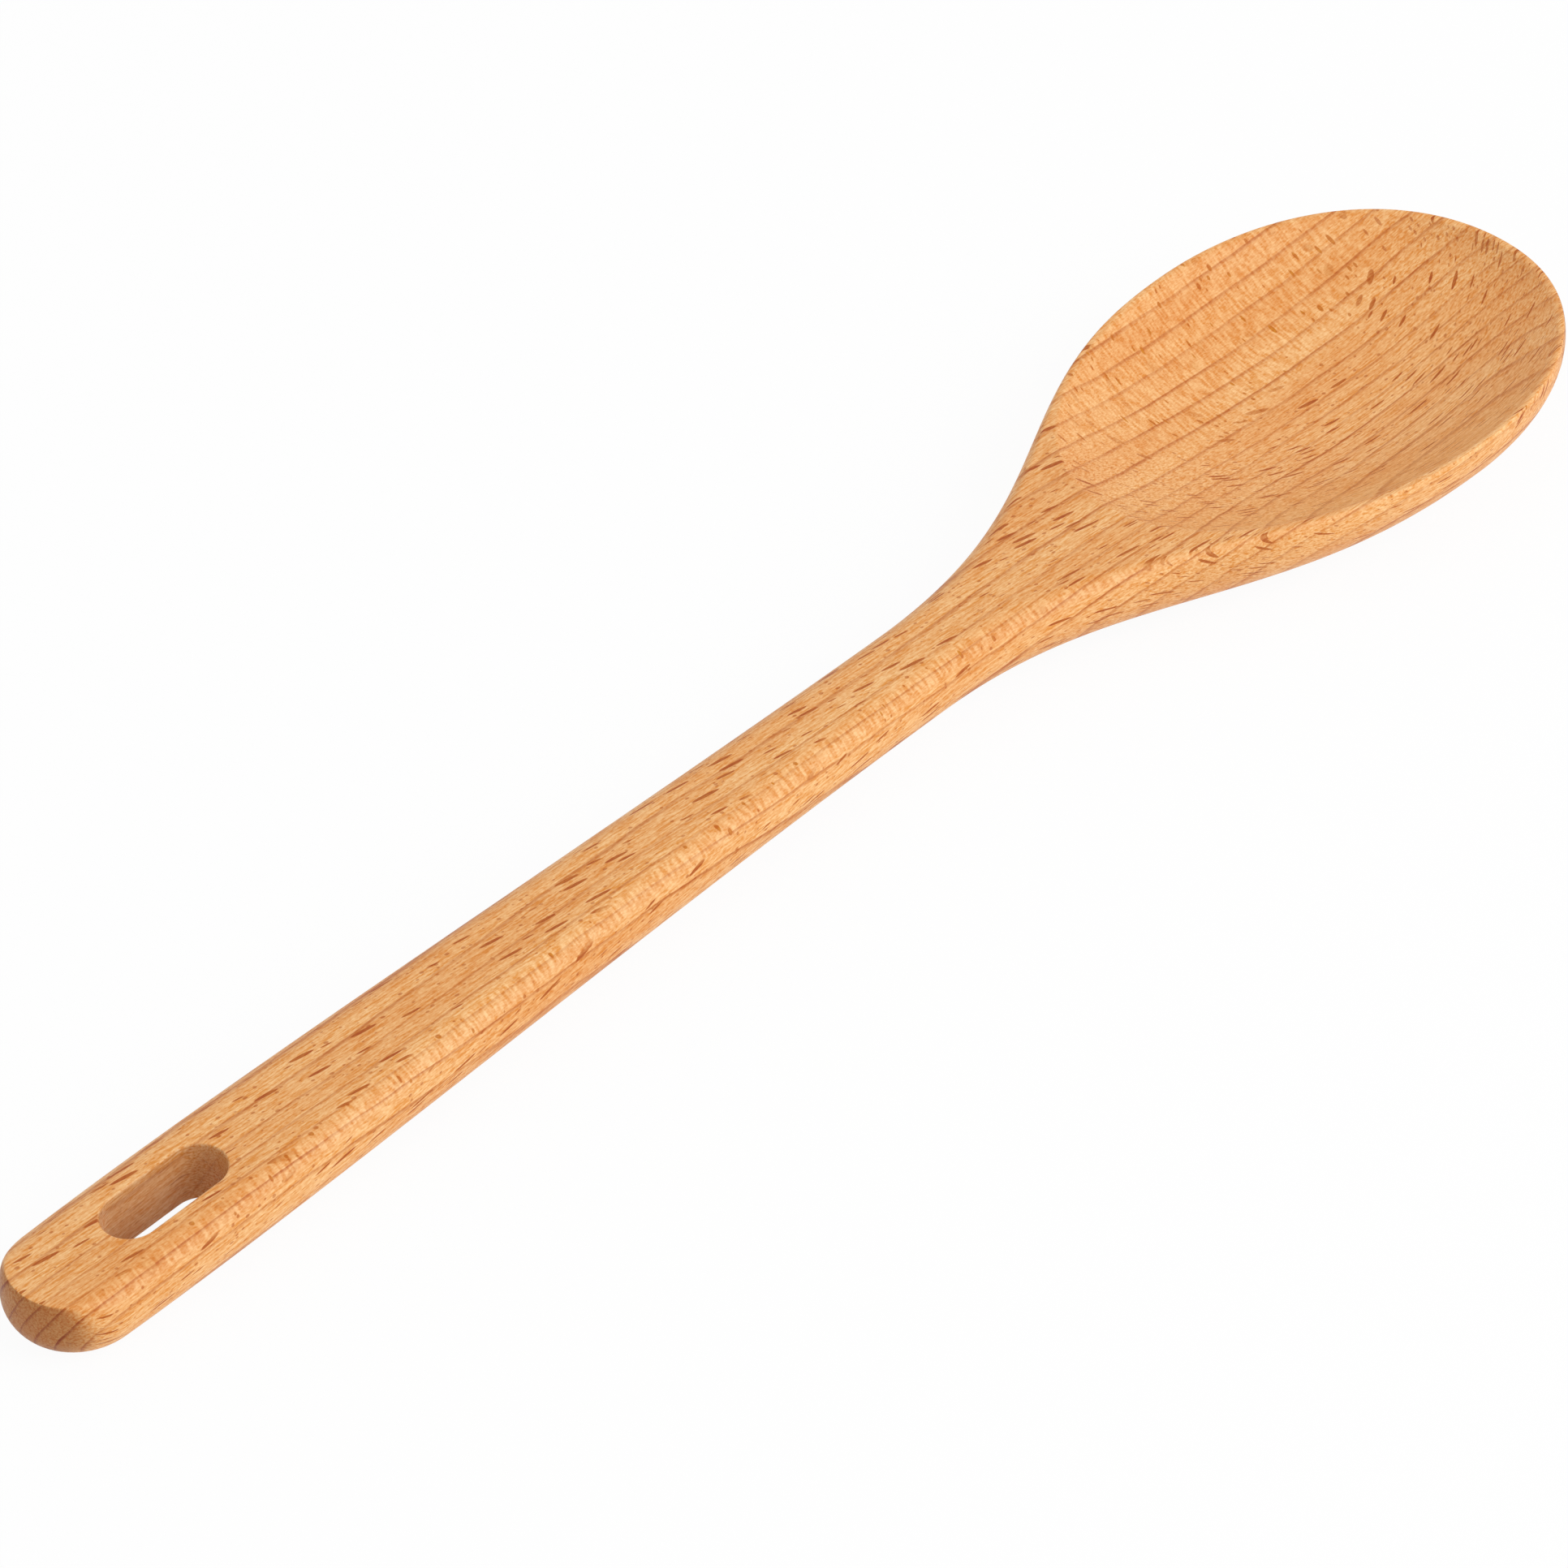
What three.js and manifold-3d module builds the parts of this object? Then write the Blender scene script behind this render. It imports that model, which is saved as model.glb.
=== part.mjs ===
// Cooking spoon carved from a single piece of beech.
// Millimetres. +X runs from the handle end to the tip of the bowl, +Z is up and the hollow opens upwards.
// The origin lies under the middle of the spoon, on the surface that it rests on.
import * as THREE from 'three';
import { mergeVertices } from 'three/addons/utils/BufferGeometryUtils.js';
import Module from 'manifold-3d';

// Plan of the whole spoon
const overallLength = 305;
const handleEndWidth = 20.2;
const handleNoseLength = 10; // from the end of the handle to where its sides start
const sideSwell = 1; // how far the sides aim outwards before they taper
const waistWidth = 14.8; // the narrowest place, where the handle meets the neck
const widestToWaist = 92;
const bowlWidth = 62.3;
const tipToWidest = 42;

// Thickness and side view
const handleThickness = 9.8;
const bowlHeight = 14.8; // from the resting flat to the rim, at the bowl's widest place
const archRise = 1.1; // how far the top line rises above a straight one between handle end and bowl
const restFlatLength = 8; // level stretch of the bowl's back, measured from its widest place

// Rounded edges
const handleSideRound = 4.5; // how far the rounding of the handle's sides runs in from each edge
const handleEndRound = 1; // the same over the handle's end, on top, where the edge is left crisp
const endCrispness = 6; // the higher it is, the farther the crisp edge runs round towards the sides
const handleEndUnderRound = 4.2; // the same over the handle's end, underneath
const landWidth = 1; // level strip beside the rounded edges
const rimRound = 0.5;
const rimDrop = 2.2; // how far below the rim the bowl's outer wall is widest
const thinRimToWidest = 10.5; // the rim is at its thinnest from this far before the widest place

// Hollow of the bowl
const rimWidth = 1.1;
const lipToWidest = 49.3; // from the lip across the neck to the bowl's widest place
const deepestToWidest = 6; // the deepest place lies this far towards the handle
const bowlFloor = 4.6; // wood left under the deepest place

// Hanging slot
const slotFromEnd = 15.7;
const slotLength = 19.9;
const slotWidth = 8.1;

// Fullness of the curves, as shares of the stretch that each one spans
const sideEaseAtEnd = 0.25;
const sideEaseAtWaist = 0.38;
const neckEaseAtWaist = 0.48;
const neckEaseAtBowl = 0.44;
const tipFullnessAlong = 0.55;
const tipFullnessAcross = 0.62;
const lipFullness = 0.75;
const lipEaseAtBowl = 0.34;
const backRoundShare = 0.74; // share of the bowl's half-width that curves up into the outer wall
const hollowPowerAtLip = 2.1; // 2 is a parabola, and more gives a flatter floor and a steeper wall
const hollowPowerAtRim = 2.6;

// Facets along each curve
const noseSteps = 9;
const sideSteps = 16;
const neckSteps = 20;
const tipSteps = 18;
const landSteps = 3;
const edgeSteps = 5;
const backSteps = 8;
const lipSteps = 22;
const hollowSteps = 8;
const slotEndSteps = 10;

// Stations along the spoon
const endX = -overallLength / 2;
const tipX = overallLength / 2;
const widestX = tipX - tipToWidest;
const waistX = widestX - widestToWaist;
const lipX = widestX - lipToWidest;
const deepestX = widestX - deepestToWidest;
const restX = widestX - restFlatLength;
const thinRimX = widestX - thinRimToWidest;
const spineStartX = endX + handleEndWidth / 2;

const cutOverrun = 0.06; // share by which the hollow's cutter is carried on past the rim
const slotOverrun = 2; // how far the slot's cutter stands out of both faces

const { lerp, smoothstep, clamp } = THREE.MathUtils;

// Height of the flat top along the spoon: a straight rise with a gentle arch in it
function topLine(x) {
  const along = (x - endX) / (widestX - endX);
  return lerp(handleThickness, bowlHeight, along) + 4 * archRise * along * (1 - along);
}

// Height of the back: parallel to the top under the handle, then easing down to the resting flat
function backLine(x) {
  return (topLine(x) - handleThickness) * (1 - smoothstep(x, waistX, restX));
}

// Cubic curve whose ends run along X, with each handle's share of the span between them
function easedCurve(start, end, easeAtStart, easeAtEnd, aim = 0) {
  const span = end.x - start.x;
  return new THREE.CubicBezierCurve(
    start,
    new THREE.Vector2(start.x + span * easeAtStart, start.y + aim),
    new THREE.Vector2(end.x - span * easeAtEnd, end.y),
    end,
  );
}

// Round end of an egg shape, from its widest place to its tip on the centre line
function tipCurve(widest, tip) {
  return new THREE.CubicBezierCurve(
    widest,
    new THREE.Vector2(lerp(widest.x, tip.x, tipFullnessAlong), widest.y),
    new THREE.Vector2(tip.x, widest.y * tipFullnessAcross),
    tip,
  );
}

// Points along a chain of curves, with each shared end written once
function chainPoints(pieces) {
  const points = [pieces[0].curve.getPoint(0)];
  for (const { curve, steps } of pieces) {
    points.push(...curve.getPoints(steps).slice(1));
  }
  return points;
}

// Closed loop from the half on the +Y side and its mirror image
function mirroredLoop(half) {
  const otherSide = half.slice(1, -1).reverse().map((point) => new THREE.Vector2(point.x, -point.y));
  return [...half, ...otherSide];
}

function spoonOutline() {
  const noseX = endX + handleNoseLength;
  const halfEnd = handleEndWidth / 2;
  const sideStart = new THREE.Vector2(noseX, halfEnd);
  const waist = new THREE.Vector2(waistX, waistWidth / 2);
  const widest = new THREE.Vector2(widestX, bowlWidth / 2);
  const tip = new THREE.Vector2(tipX, 0);
  return mirroredLoop(chainPoints([
    {
      curve: new THREE.EllipseCurve(noseX, 0, handleNoseLength, halfEnd, Math.PI, Math.PI / 2, true),
      steps: noseSteps,
    },
    { curve: easedCurve(sideStart, waist, sideEaseAtEnd, sideEaseAtWaist, sideSwell), steps: sideSteps },
    { curve: easedCurve(waist, widest, neckEaseAtWaist, neckEaseAtBowl), steps: neckSteps },
    { curve: tipCurve(widest, tip), steps: tipSteps },
  ]));
}

function hollowOutline() {
  const halfWidth = bowlWidth / 2 - rimWidth;
  const lip = new THREE.Vector2(lipX, 0);
  const widest = new THREE.Vector2(widestX, halfWidth);
  const tip = new THREE.Vector2(tipX - rimWidth, 0);
  const lipCurve = new THREE.CubicBezierCurve(
    lip,
    new THREE.Vector2(lipX, halfWidth * lipFullness),
    new THREE.Vector2(lerp(widestX, lipX, lipEaseAtBowl), halfWidth),
    widest,
  );
  return mirroredLoop(chainPoints([
    { curve: lipCurve, steps: lipSteps },
    { curve: tipCurve(widest, tip), steps: tipSteps },
  ]));
}

// How far the rounding of the handle's sides lowers a place on a rib of the handle's end
function sideFall(edge, y) {
  if (edge.x > spineStartX) {
    return 0;
  }
  const flatEdge = handleEndWidth / 2 - handleSideRound;
  const share = clamp((Math.abs(y) - flatEdge) / handleSideRound, 0, 1);
  return (handleThickness / 2) * (1 - Math.sqrt(1 - share ** 2));
}

// One rib of the blank: from the spine over the top, round the edge and back to the spine underneath
function ribPoints(edge) {
  const spineX = clamp(edge.x, spineStartX, widestX);
  const inward = new THREE.Vector2(spineX - edge.x, -edge.y);
  const reach = inward.length();
  inward.divideScalar(reach);

  const sideways = Math.abs(inward.y);
  const bowlShare = smoothstep(edge.x, waistX, widestX);
  const rimShare = smoothstep(edge.x, waistX, thinRimX);
  const handleRun = lerp(handleEndRound, handleSideRound, sideways ** endCrispness);
  const handleUnderRun = lerp(handleEndUnderRound, handleSideRound, sideways ** 2);
  const topRun = Math.min(lerp(handleRun, rimRound, rimShare), reach);
  const landInset = Math.min(handleSideRound + landWidth, reach);
  const topDrop = lerp(handleThickness / 2, rimDrop, bowlShare);
  const underRun = Math.min(lerp(handleUnderRun, backRoundShare * reach, bowlShare), reach);
  const beltHeight = topLine(edge.x) - topDrop;

  const points = [new THREE.Vector3(spineX, 0, topLine(spineX))];
  const addTopPoint = (inset, drop) => {
    const x = edge.x + inward.x * inset;
    const y = edge.y + inward.y * inset;
    points.push(new THREE.Vector3(x, y, topLine(x) - Math.max(drop, sideFall(edge, y))));
  };
  for (let step = 0; step < landSteps; step += 1) {
    addTopPoint(lerp(landInset, topRun, step / landSteps), 0);
  }
  for (let step = 0; step <= edgeSteps; step += 1) {
    const angle = (step / edgeSteps) * Math.PI / 2;
    addTopPoint(topRun * (1 - Math.sin(angle)), topDrop * (1 - Math.cos(angle)));
  }
  for (let step = 1; step <= backSteps; step += 1) {
    const angle = (step / backSteps) * Math.PI / 2;
    const inset = underRun * (1 - Math.cos(angle));
    const x = edge.x + inward.x * inset;
    const height = lerp(beltHeight, backLine(x), Math.sin(angle));
    points.push(new THREE.Vector3(x, edge.y + inward.y * inset, height));
  }
  points.push(new THREE.Vector3(spineX, 0, backLine(spineX)));
  return points;
}

// One rib of the hollow's cutter: from above its middle out to the rim and down to the deepest place
function hollowRib(edge) {
  const power = lerp(hollowPowerAtLip, hollowPowerAtRim, smoothstep(edge.x, lipX, widestX));
  const surfacePoint = (share) => {
    const x = lerp(deepestX, edge.x, share);
    const height = lerp(bowlFloor, topLine(x), share ** power);
    return new THREE.Vector3(x, edge.y * share, height);
  };
  const outermost = 1 + cutOverrun;
  const points = [new THREE.Vector3(deepestX, 0, topLine(deepestX) * outermost ** hollowPowerAtRim)];
  for (let step = 0; step < hollowSteps; step += 1) {
    points.push(surfacePoint(outermost * (1 - step / hollowSteps)));
  }
  points.push(new THREE.Vector3(deepestX, 0, bowlFloor));
  return points;
}

// Closed skin over a ring of ribs that share their first and last points with the ribs across from them
function skinOverRibs(ribs) {
  const positions = ribs.flat().flatMap((point) => point.toArray());
  const perRib = ribs[0].length;
  const triangles = [];
  for (let rib = 0; rib < ribs.length; rib += 1) {
    const next = (rib + 1) % ribs.length;
    for (let step = 0; step < perRib - 1; step += 1) {
      const corner = rib * perRib + step;
      const across = next * perRib + step;
      triangles.push(corner, across, corner + 1);
      triangles.push(across, across + 1, corner + 1);
    }
  }
  const geometry = new THREE.BufferGeometry();
  geometry.setAttribute('position', new THREE.Float32BufferAttribute(positions, 3));
  geometry.setIndex(triangles);
  return geometry;
}

const wasm = await Module();
wasm.setup();

// Solid from a closed geometry: shared corners are merged, and triangles that closed up are dropped
function solidFrom(geometry) {
  const bare = geometry.clone();
  bare.deleteAttribute('normal');
  bare.deleteAttribute('uv');
  const merged = mergeVertices(bare);
  const corners = merged.index.array;
  const triangles = [];
  for (let i = 0; i < corners.length; i += 3) {
    const [a, b, c] = corners.slice(i, i + 3);
    if (a !== b && b !== c && c !== a) {
      triangles.push(a, b, c);
    }
  }
  return new wasm.Manifold(new wasm.Mesh({
    numProp: 3,
    vertProperties: new Float32Array(merged.attributes.position.array),
    triVerts: new Uint32Array(triangles),
  }));
}

function geometryFrom(solid) {
  const { vertProperties, triVerts } = solid.getMesh();
  const geometry = new THREE.BufferGeometry();
  geometry.setAttribute('position', new THREE.Float32BufferAttribute(vertProperties, 3));
  geometry.setIndex(new THREE.Uint32BufferAttribute(triVerts, 1));
  geometry.computeVertexNormals();
  return geometry;
}

// Long round-ended hole straight through the handle
function hangingSlot() {
  const radius = slotWidth / 2;
  const nearX = endX + slotFromEnd + radius;
  const farX = endX + slotFromEnd + slotLength - radius;
  const outline = new THREE.Shape();
  outline.absarc(nearX, 0, radius, Math.PI / 2, Math.PI * 1.5, false);
  outline.absarc(farX, 0, radius, -Math.PI / 2, Math.PI / 2, false);
  outline.closePath();
  const depth = topLine(farX) + 2 * slotOverrun;
  const cutter = new THREE.ExtrudeGeometry(outline, {
    depth,
    bevelEnabled: false,
    curveSegments: slotEndSteps,
  });
  return cutter.translate(0, 0, -slotOverrun);
}

function carvedSpoon() {
  const blank = solidFrom(skinOverRibs(spoonOutline().map(ribPoints)));
  const hollow = solidFrom(skinOverRibs(hollowOutline().map(hollowRib)));
  const slot = solidFrom(hangingSlot());
  return geometryFrom(blank.subtract(hollow).subtract(slot));
}

const oiledBeech = new THREE.MeshStandardMaterial({ color: 0xdfa368, roughness: 0.5, metalness: 0 });

const spoonBody = new THREE.Mesh(carvedSpoon(), oiledBeech);
spoonBody.name = 'spoon_body';

const spoon = new THREE.Group();
spoon.add(spoonBody);

export default spoon;
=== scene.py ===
import math

import bmesh
import bpy
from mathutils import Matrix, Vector


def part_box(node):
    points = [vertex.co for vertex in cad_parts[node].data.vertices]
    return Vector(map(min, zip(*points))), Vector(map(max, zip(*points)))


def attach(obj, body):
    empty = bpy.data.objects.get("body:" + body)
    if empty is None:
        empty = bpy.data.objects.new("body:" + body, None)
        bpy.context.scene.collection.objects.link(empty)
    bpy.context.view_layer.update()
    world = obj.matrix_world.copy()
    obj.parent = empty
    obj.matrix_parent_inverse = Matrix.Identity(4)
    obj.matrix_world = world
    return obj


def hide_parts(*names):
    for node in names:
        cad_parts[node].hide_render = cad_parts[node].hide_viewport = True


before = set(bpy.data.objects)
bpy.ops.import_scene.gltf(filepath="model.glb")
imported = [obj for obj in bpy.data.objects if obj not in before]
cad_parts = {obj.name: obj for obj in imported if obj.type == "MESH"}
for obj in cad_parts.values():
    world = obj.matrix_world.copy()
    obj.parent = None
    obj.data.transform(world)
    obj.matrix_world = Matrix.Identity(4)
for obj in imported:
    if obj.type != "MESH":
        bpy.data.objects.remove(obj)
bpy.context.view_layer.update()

# Sizes in millimetres, with +X from the handle's end to the tip of the bowl and +Z up out of the hollow
METRES_PER_MM = 0.001
BODY_LOW, BODY_HIGH = (corner / METRES_PER_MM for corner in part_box("spoon_body"))

# Plan of the whole spoon
HANDLE_END_WIDTH = 20.2
HANDLE_NOSE_LENGTH = 10.0
SIDE_SWELL = 1.0
WAIST_WIDTH = 14.8
WIDEST_TO_WAIST = 92.0
BOWL_WIDTH = BODY_HIGH.y - BODY_LOW.y
TIP_TO_WIDEST = 42.0

# Hollow of the bowl
RIM_WIDTH = 1.1
LIP_TO_WIDEST = 49.3
DEEPEST_TO_WIDEST = 6.0
THIN_RIM_TO_WIDEST = 10.5
REST_FLAT_LENGTH = 8.0

# Hanging slot
SLOT_FROM_END = 15.7
SLOT_LENGTH = 19.9
SLOT_WIDTH = 8.1

# Fullness of the plan's curves, as shares of the stretch that each one spans
CIRCLE_FULLNESS = 0.5523
SIDE_EASE_AT_END = 0.25
SIDE_EASE_AT_WAIST = 0.38
NECK_EASE_AT_WAIST = 0.48
NECK_EASE_AT_BOWL = 0.44
TIP_FULLNESS_ALONG = 0.55
TIP_FULLNESS_ACROSS = 0.62
LIP_FULLNESS = 0.75
LIP_EASE_AT_BOWL = 0.34

# Stations along the spoon
END_X = BODY_LOW.x
TIP_X = BODY_HIGH.x
WIDEST_X = TIP_X - TIP_TO_WIDEST
WAIST_X = WIDEST_X - WIDEST_TO_WAIST
LIP_X = WIDEST_X - LIP_TO_WIDEST
SLOT_RADIUS = SLOT_WIDTH / 2
SLOT_NEAR_X = END_X + SLOT_FROM_END + SLOT_RADIUS
SLOT_FAR_X = END_X + SLOT_FROM_END + SLOT_LENGTH - SLOT_RADIUS

# Sizes that the carving takes as named inputs
CARVING_SIZES = {
    "End station": END_X,
    "Waist station": WAIST_X,
    "Widest station": WIDEST_X,
    "Lip station": LIP_X,
    "Deepest station": WIDEST_X - DEEPEST_TO_WIDEST,
    "Rest flat station": WIDEST_X - REST_FLAT_LENGTH,
    "Thin rim station": WIDEST_X - THIN_RIM_TO_WIDEST,
    "Spine start station": END_X + HANDLE_END_WIDTH / 2,
    "Slot near station": SLOT_NEAR_X,
    "Slot far station": SLOT_FAR_X,
    "Handle end width": HANDLE_END_WIDTH,
    "Handle thickness": 9.8,
    "Bowl height": 14.8,
    "Arch rise": 1.1,
    "Bowl floor": 4.6,
    "Handle side round": 4.5,
    "Handle end round": 1.0,
    "Handle end under round": 4.2,
    "End crispness": 6.0,
    "Rim round": 0.5,
    "Rim drop": 2.2,
    "Back round share": 0.74,
    "Lip round": 0.45,
    "Hollow power at lip": 2.1,
    "Hollow power at rim": 2.6,
    "Slot mouth round": 0.35,
    "Flat beside edge": 0.6,
    "Flat beside rim": 0.05,
}

# Points round each loop of the plan, and rings across each strip of surface
CURVE_RESOLUTION = 64
OUTLINE_POINTS = 720
HOLLOW_POINTS = 440
SLOT_POINTS = 128
LAND_STEPS = 8
EDGE_STEPS = 12
BACK_STEPS = 22
HOLLOW_STEPS = 60
HOLLOW_STEP_EASE = 1.6
MOUTH_STEPS = 6
WALL_STEPS = 6
MERGE_DISTANCE = 0.01

# Rings have whole numbers, so a margin under a half picks out one ring
RING_MARGIN = 0.25

# Camera: the direction and distance that the photograph was taken from
CAMERA_AIM = Vector((-11.95, -3.31, 9.59))
CAMERA_BEARING = math.radians(42.61)
CAMERA_ELEVATION = math.radians(40.47)
CAMERA_DISTANCE = 911.8
CAMERA_LENS = 150.6
CAMERA_NEAR = 10.0
CAMERA_FAR = 20000.0

# Light: one soft round lamp to the right of the camera, in watts, and an even white room
KEY_DIRECTION = Vector((0.30, -0.72, 0.62)).normalized()
KEY_DISTANCE = 1300.0
KEY_SIZE = 900.0
KEY_POWER = 7.1
ROOM_LIGHT = 0.705
WHITE = "#FFFFFF"

# Floor: a square of paper just below the spoon, so that the two don't share a plane
FLOOR_SIDE = 12000.0
FLOOR_DROP = 0.2
PAPER = "#F8F8F8"

# Share of the floor that is plain white to the camera; the rest shows the shadow
GLOW_SHARE = 0.94


def linear(hex_colour):
    """Turns an sRGB hex colour into a linear colour with full alpha."""
    channels = [int(hex_colour[i:i + 2], 16) / 255 for i in (1, 3, 5)]
    straight = [c / 12.92 if c <= 0.04045 else ((c + 0.055) / 1.055) ** 2.4 for c in channels]
    return (*straight, 1.0)


def add_node(tree, kind, inputs=(), output=None, **settings):
    """Adds a node with its settings, fills its inputs by order or by name, and returns one output."""
    node = tree.nodes.new(kind)
    for name, value in settings.items():
        setattr(node, name, value)
    sockets = [socket for socket in node.inputs if socket.enabled]
    if isinstance(inputs, dict):
        named = {socket.name: socket for socket in reversed(sockets)}
        pairs = [(named[name], value) for name, value in inputs.items()]
    else:
        pairs = list(zip(sockets, inputs))
    for socket, value in pairs:
        for source in value if isinstance(value, list) else [value]:
            if isinstance(source, bpy.types.NodeSocket):
                tree.links.new(source, socket)
            else:
                socket.default_value = source
    results = [socket for socket in node.outputs if socket.enabled]
    return next((socket for socket in results if socket.name == output), results[0] if results else node)


MATH = "ShaderNodeMath"
VECTOR_MATH = "ShaderNodeVectorMath"
MIX = "ShaderNodeMix"
MAP_RANGE = "ShaderNodeMapRange"
NOISE = "ShaderNodeTexNoise"


# Plan: the loops that the spoon is carved from, drawn flat

def add_loop(curve, half):
    """Adds a closed loop from its half on the +Y side: a point and its two handles for each corner."""
    mirrored = [
        tuple(Vector((spot.x, -spot.y, 0)) for spot in (point, after, before))
        for point, before, after in reversed(half[1:-1])
    ]
    corners = list(half) + mirrored
    spline = curve.splines.new("BEZIER")
    spline.bezier_points.add(len(corners) - 1)
    spline.resolution_u = CURVE_RESOLUTION
    spline.use_cyclic_u = True
    for knot, (point, before, after) in zip(spline.bezier_points, corners):
        knot.handle_left_type = "FREE"
        knot.handle_right_type = "FREE"
        knot.co = point
        knot.handle_left = before
        knot.handle_right = after


def flat(x, y):
    return Vector((x, y, 0))


def share_of(start, end, share):
    return start + (end - start) * share


def egg_tip(half_width, tip_x):
    """The last corner of an egg-shaped loop, on the centre line."""
    across = half_width * TIP_FULLNESS_ACROSS
    return flat(tip_x, 0), flat(tip_x, across), flat(tip_x, -across)


def outline_half():
    nose_x = END_X + HANDLE_NOSE_LENGTH
    half_end = HANDLE_END_WIDTH / 2
    half_waist = WAIST_WIDTH / 2
    half_bowl = BOWL_WIDTH / 2
    return [
        (
            flat(END_X, 0),
            flat(END_X, -half_end * CIRCLE_FULLNESS),
            flat(END_X, half_end * CIRCLE_FULLNESS),
        ),
        (
            flat(nose_x, half_end),
            flat(nose_x - HANDLE_NOSE_LENGTH * CIRCLE_FULLNESS, half_end),
            flat(share_of(nose_x, WAIST_X, SIDE_EASE_AT_END), half_end + SIDE_SWELL),
        ),
        (
            flat(WAIST_X, half_waist),
            flat(share_of(WAIST_X, nose_x, SIDE_EASE_AT_WAIST), half_waist),
            flat(share_of(WAIST_X, WIDEST_X, NECK_EASE_AT_WAIST), half_waist),
        ),
        (
            flat(WIDEST_X, half_bowl),
            flat(share_of(WIDEST_X, WAIST_X, NECK_EASE_AT_BOWL), half_bowl),
            flat(share_of(WIDEST_X, TIP_X, TIP_FULLNESS_ALONG), half_bowl),
        ),
        egg_tip(half_bowl, TIP_X),
    ]


def hollow_half():
    half_width = BOWL_WIDTH / 2 - RIM_WIDTH
    tip_x = TIP_X - RIM_WIDTH
    return [
        (flat(LIP_X, 0), flat(LIP_X, -half_width * LIP_FULLNESS), flat(LIP_X, half_width * LIP_FULLNESS)),
        (
            flat(WIDEST_X, half_width),
            flat(share_of(WIDEST_X, LIP_X, LIP_EASE_AT_BOWL), half_width),
            flat(share_of(WIDEST_X, tip_x, TIP_FULLNESS_ALONG), half_width),
        ),
        egg_tip(half_width, tip_x),
    ]


def slot_half():
    bulge = SLOT_RADIUS * CIRCLE_FULLNESS
    straight = (SLOT_FAR_X - SLOT_NEAR_X) / 3
    return [
        (flat(SLOT_NEAR_X - SLOT_RADIUS, 0), flat(SLOT_NEAR_X - SLOT_RADIUS, -bulge),
         flat(SLOT_NEAR_X - SLOT_RADIUS, bulge)),
        (flat(SLOT_NEAR_X, SLOT_RADIUS), flat(SLOT_NEAR_X - bulge, SLOT_RADIUS),
         flat(SLOT_NEAR_X + straight, SLOT_RADIUS)),
        (flat(SLOT_FAR_X, SLOT_RADIUS), flat(SLOT_FAR_X - straight, SLOT_RADIUS),
         flat(SLOT_FAR_X + bulge, SLOT_RADIUS)),
        (flat(SLOT_FAR_X + SLOT_RADIUS, 0), flat(SLOT_FAR_X + SLOT_RADIUS, bulge),
         flat(SLOT_FAR_X + SLOT_RADIUS, -bulge)),
    ]


def spoon_plan():
    curve = bpy.data.curves.new("spoon plan", "CURVE")
    curve.dimensions = "3D"
    for half in (outline_half(), hollow_half(), slot_half()):
        add_loop(curve, half)
    plan = bpy.data.objects.new("spoon plan", curve)
    bpy.context.scene.collection.objects.link(plan)
    return plan


# Carving: strips of surface are laid out flat from the plan's loops, and then take their heights

def loop_strip(tree, plan, loop_number, points, rings):
    """A strip of rings along one loop. Each point keeps its place on the loop and its ring's number."""
    this_loop = add_node(
        tree, "FunctionNodeCompare", (add_node(tree, "GeometryNodeInputIndex"), loop_number),
        data_type="INT", operation="EQUAL",
    )
    loop = add_node(tree, "GeometryNodeSeparateGeometry", (plan, this_loop), domain="CURVE")
    loop = add_node(tree, "GeometryNodeResampleCurve", {"Curve": loop, "Count": points}, mode="COUNT")
    loop = add_node(
        tree, "GeometryNodeStoreNamedAttribute",
        {"Geometry": loop, "Name": "loop place", "Value": add_node(tree, "GeometryNodeInputPosition")},
        data_type="FLOAT_VECTOR", domain="POINT",
    )
    across = add_node(tree, "GeometryNodeCurvePrimitiveLine", ((0, 0, 0), (0, 0, 1)))
    across = add_node(tree, "GeometryNodeResampleCurve", {"Curve": across, "Count": rings}, mode="COUNT")
    number = add_node(tree, "GeometryNodeSplineParameter", output="Index")
    across = add_node(
        tree, "GeometryNodeStoreNamedAttribute",
        {"Geometry": across, "Name": "ring", "Value": number},
        data_type="FLOAT", domain="POINT",
    )
    return add_node(tree, "GeometryNodeCurveToMesh", {"Curve": loop, "Profile Curve": across})


def inward_of(tree, place, spine_from, spine_to):
    """The direction and distance from a place on a loop to the loop's spine on the centre line."""
    along = add_node(tree, "ShaderNodeSeparateXYZ", (place,), output="X")
    spine_x = add_node(tree, "ShaderNodeClamp", (along, spine_from, spine_to))
    spine = add_node(tree, "ShaderNodeCombineXYZ", (spine_x, 0.0, 0.0))
    inward = add_node(tree, VECTOR_MATH, (spine, place), operation="SUBTRACT")
    reach = add_node(tree, VECTOR_MATH, (inward,), operation="LENGTH", output="Value")
    direction = add_node(tree, VECTOR_MATH, (inward,), operation="NORMALIZE")
    return along, direction, reach


def lay_strip(tree, strip, place, direction, inset, heights):
    """Moves a strip's points inwards from the loop and stores what gives them their heights later."""
    step = add_node(tree, VECTOR_MATH, {"Vector": direction, "Scale": inset}, operation="SCALE")
    spot = add_node(tree, VECTOR_MATH, (place, step), operation="ADD")
    for name, value in heights.items():
        strip = add_node(
            tree, "GeometryNodeStoreNamedAttribute", {"Geometry": strip, "Name": name, "Value": value},
            data_type="FLOAT", domain="POINT",
        )
    return add_node(tree, "GeometryNodeSetPosition", {"Geometry": strip, "Position": spot})


def quarter_turn(tree, ring, first, last):
    """Sine and cosine of an angle that goes from nothing to a right angle between two rings."""
    angle = add_node(tree, MAP_RANGE, (ring, first, last, 0.0, math.pi / 2))
    sine = add_node(tree, MATH, (angle,), operation="SINE")
    cosine = add_node(tree, MATH, (angle,), operation="COSINE")
    return sine, cosine


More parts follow.
